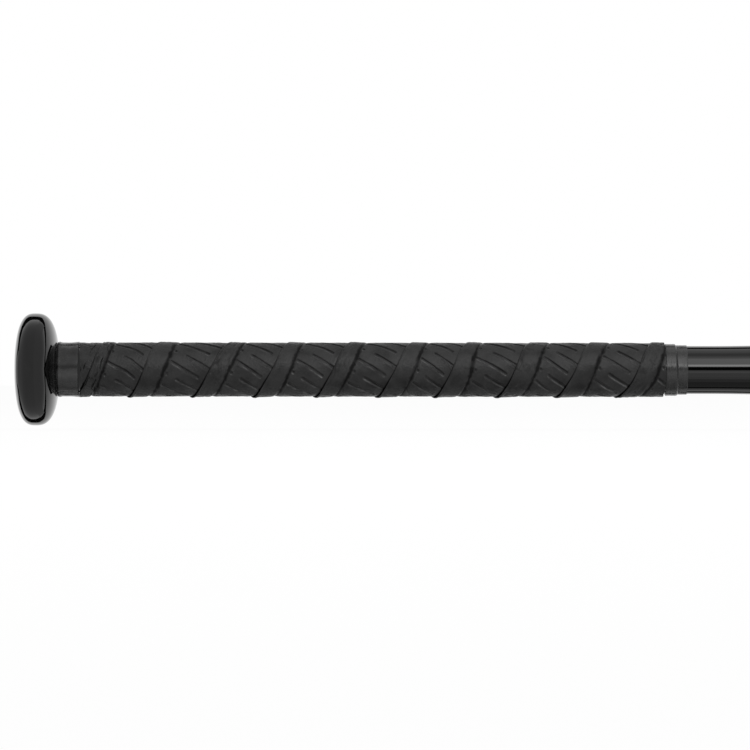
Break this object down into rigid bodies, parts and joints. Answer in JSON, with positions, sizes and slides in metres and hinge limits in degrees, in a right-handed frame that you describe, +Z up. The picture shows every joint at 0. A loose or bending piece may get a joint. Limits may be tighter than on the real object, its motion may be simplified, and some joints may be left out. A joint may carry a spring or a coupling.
{
  "type": "softball training bat",
  "caption": "Round bat with a rounded knob, a spiral-wound grip, a long taper, a smooth barrel and a screw-in end cap that carries a pack of weight discs.",
  "frame": {"origin": "centre of the knob's flat end face", "axes": "+X along the bat's axis from the knob to the end cap, +Z up as the bat lies"},
  "size_m": [0.838, 0.057, 0.057],
  "materials": {
    "gloss_black": "aluminium alloy under gloss black paint",
    "tape": "satin vinyl tape",
    "grip": "matt embossed polyurethane",
    "rubber": "matt",
    "foam": null,
    "nylon": "moulded, satin",
    "liner": "natural nylon",
    "alloy": "turned",
    "steel": "zinc plated"
  },
  "bodies": {
    "bat": {"shell": "gloss_black", "knob": "gloss_black", "knob_plug": "rubber", "handle_damper": "foam", "lower_tape": "tape", "grip_strip": "grip", "upper_tape": "tape", "foam_stop": "foam", "guide_sleeve": "liner", "thread_ring": "alloy"},
    "weight_pack": {"weight_carrier": "nylon", "weight_disc_1": "steel", "weight_disc_2": "steel", "weight_disc_3": "steel", "weight_disc_4": "steel", "damping_washer_1": "rubber", "damping_washer_2": "rubber", "damping_washer_3": "rubber", "carrier_nut": "steel"},
    "cap": {"end_cap": "nylon", "cap_seal": "rubber", "cap_stud": "steel", "thrust_washer": "steel", "stud_washer": "steel", "stud_nut": "steel"}
  },
  "joints": [
    {"name": "pack_slide", "type": "slide", "parent": "bat", "child": "weight_pack", "axis": [1, 0, 0], "range_m": [0, 0.012]},
    {"name": "cap_turn", "type": "hinge", "parent": "weight_pack", "child": "cap", "pos_m": [0.8263, 0, 0], "axis": [1, 0, 0], "range_deg": [0, 1080]}
  ],
  "couplings": [
    {"joint": "cap_turn", "follows": "pack_slide", "rad_per_m": 1570.8}
  ]
}
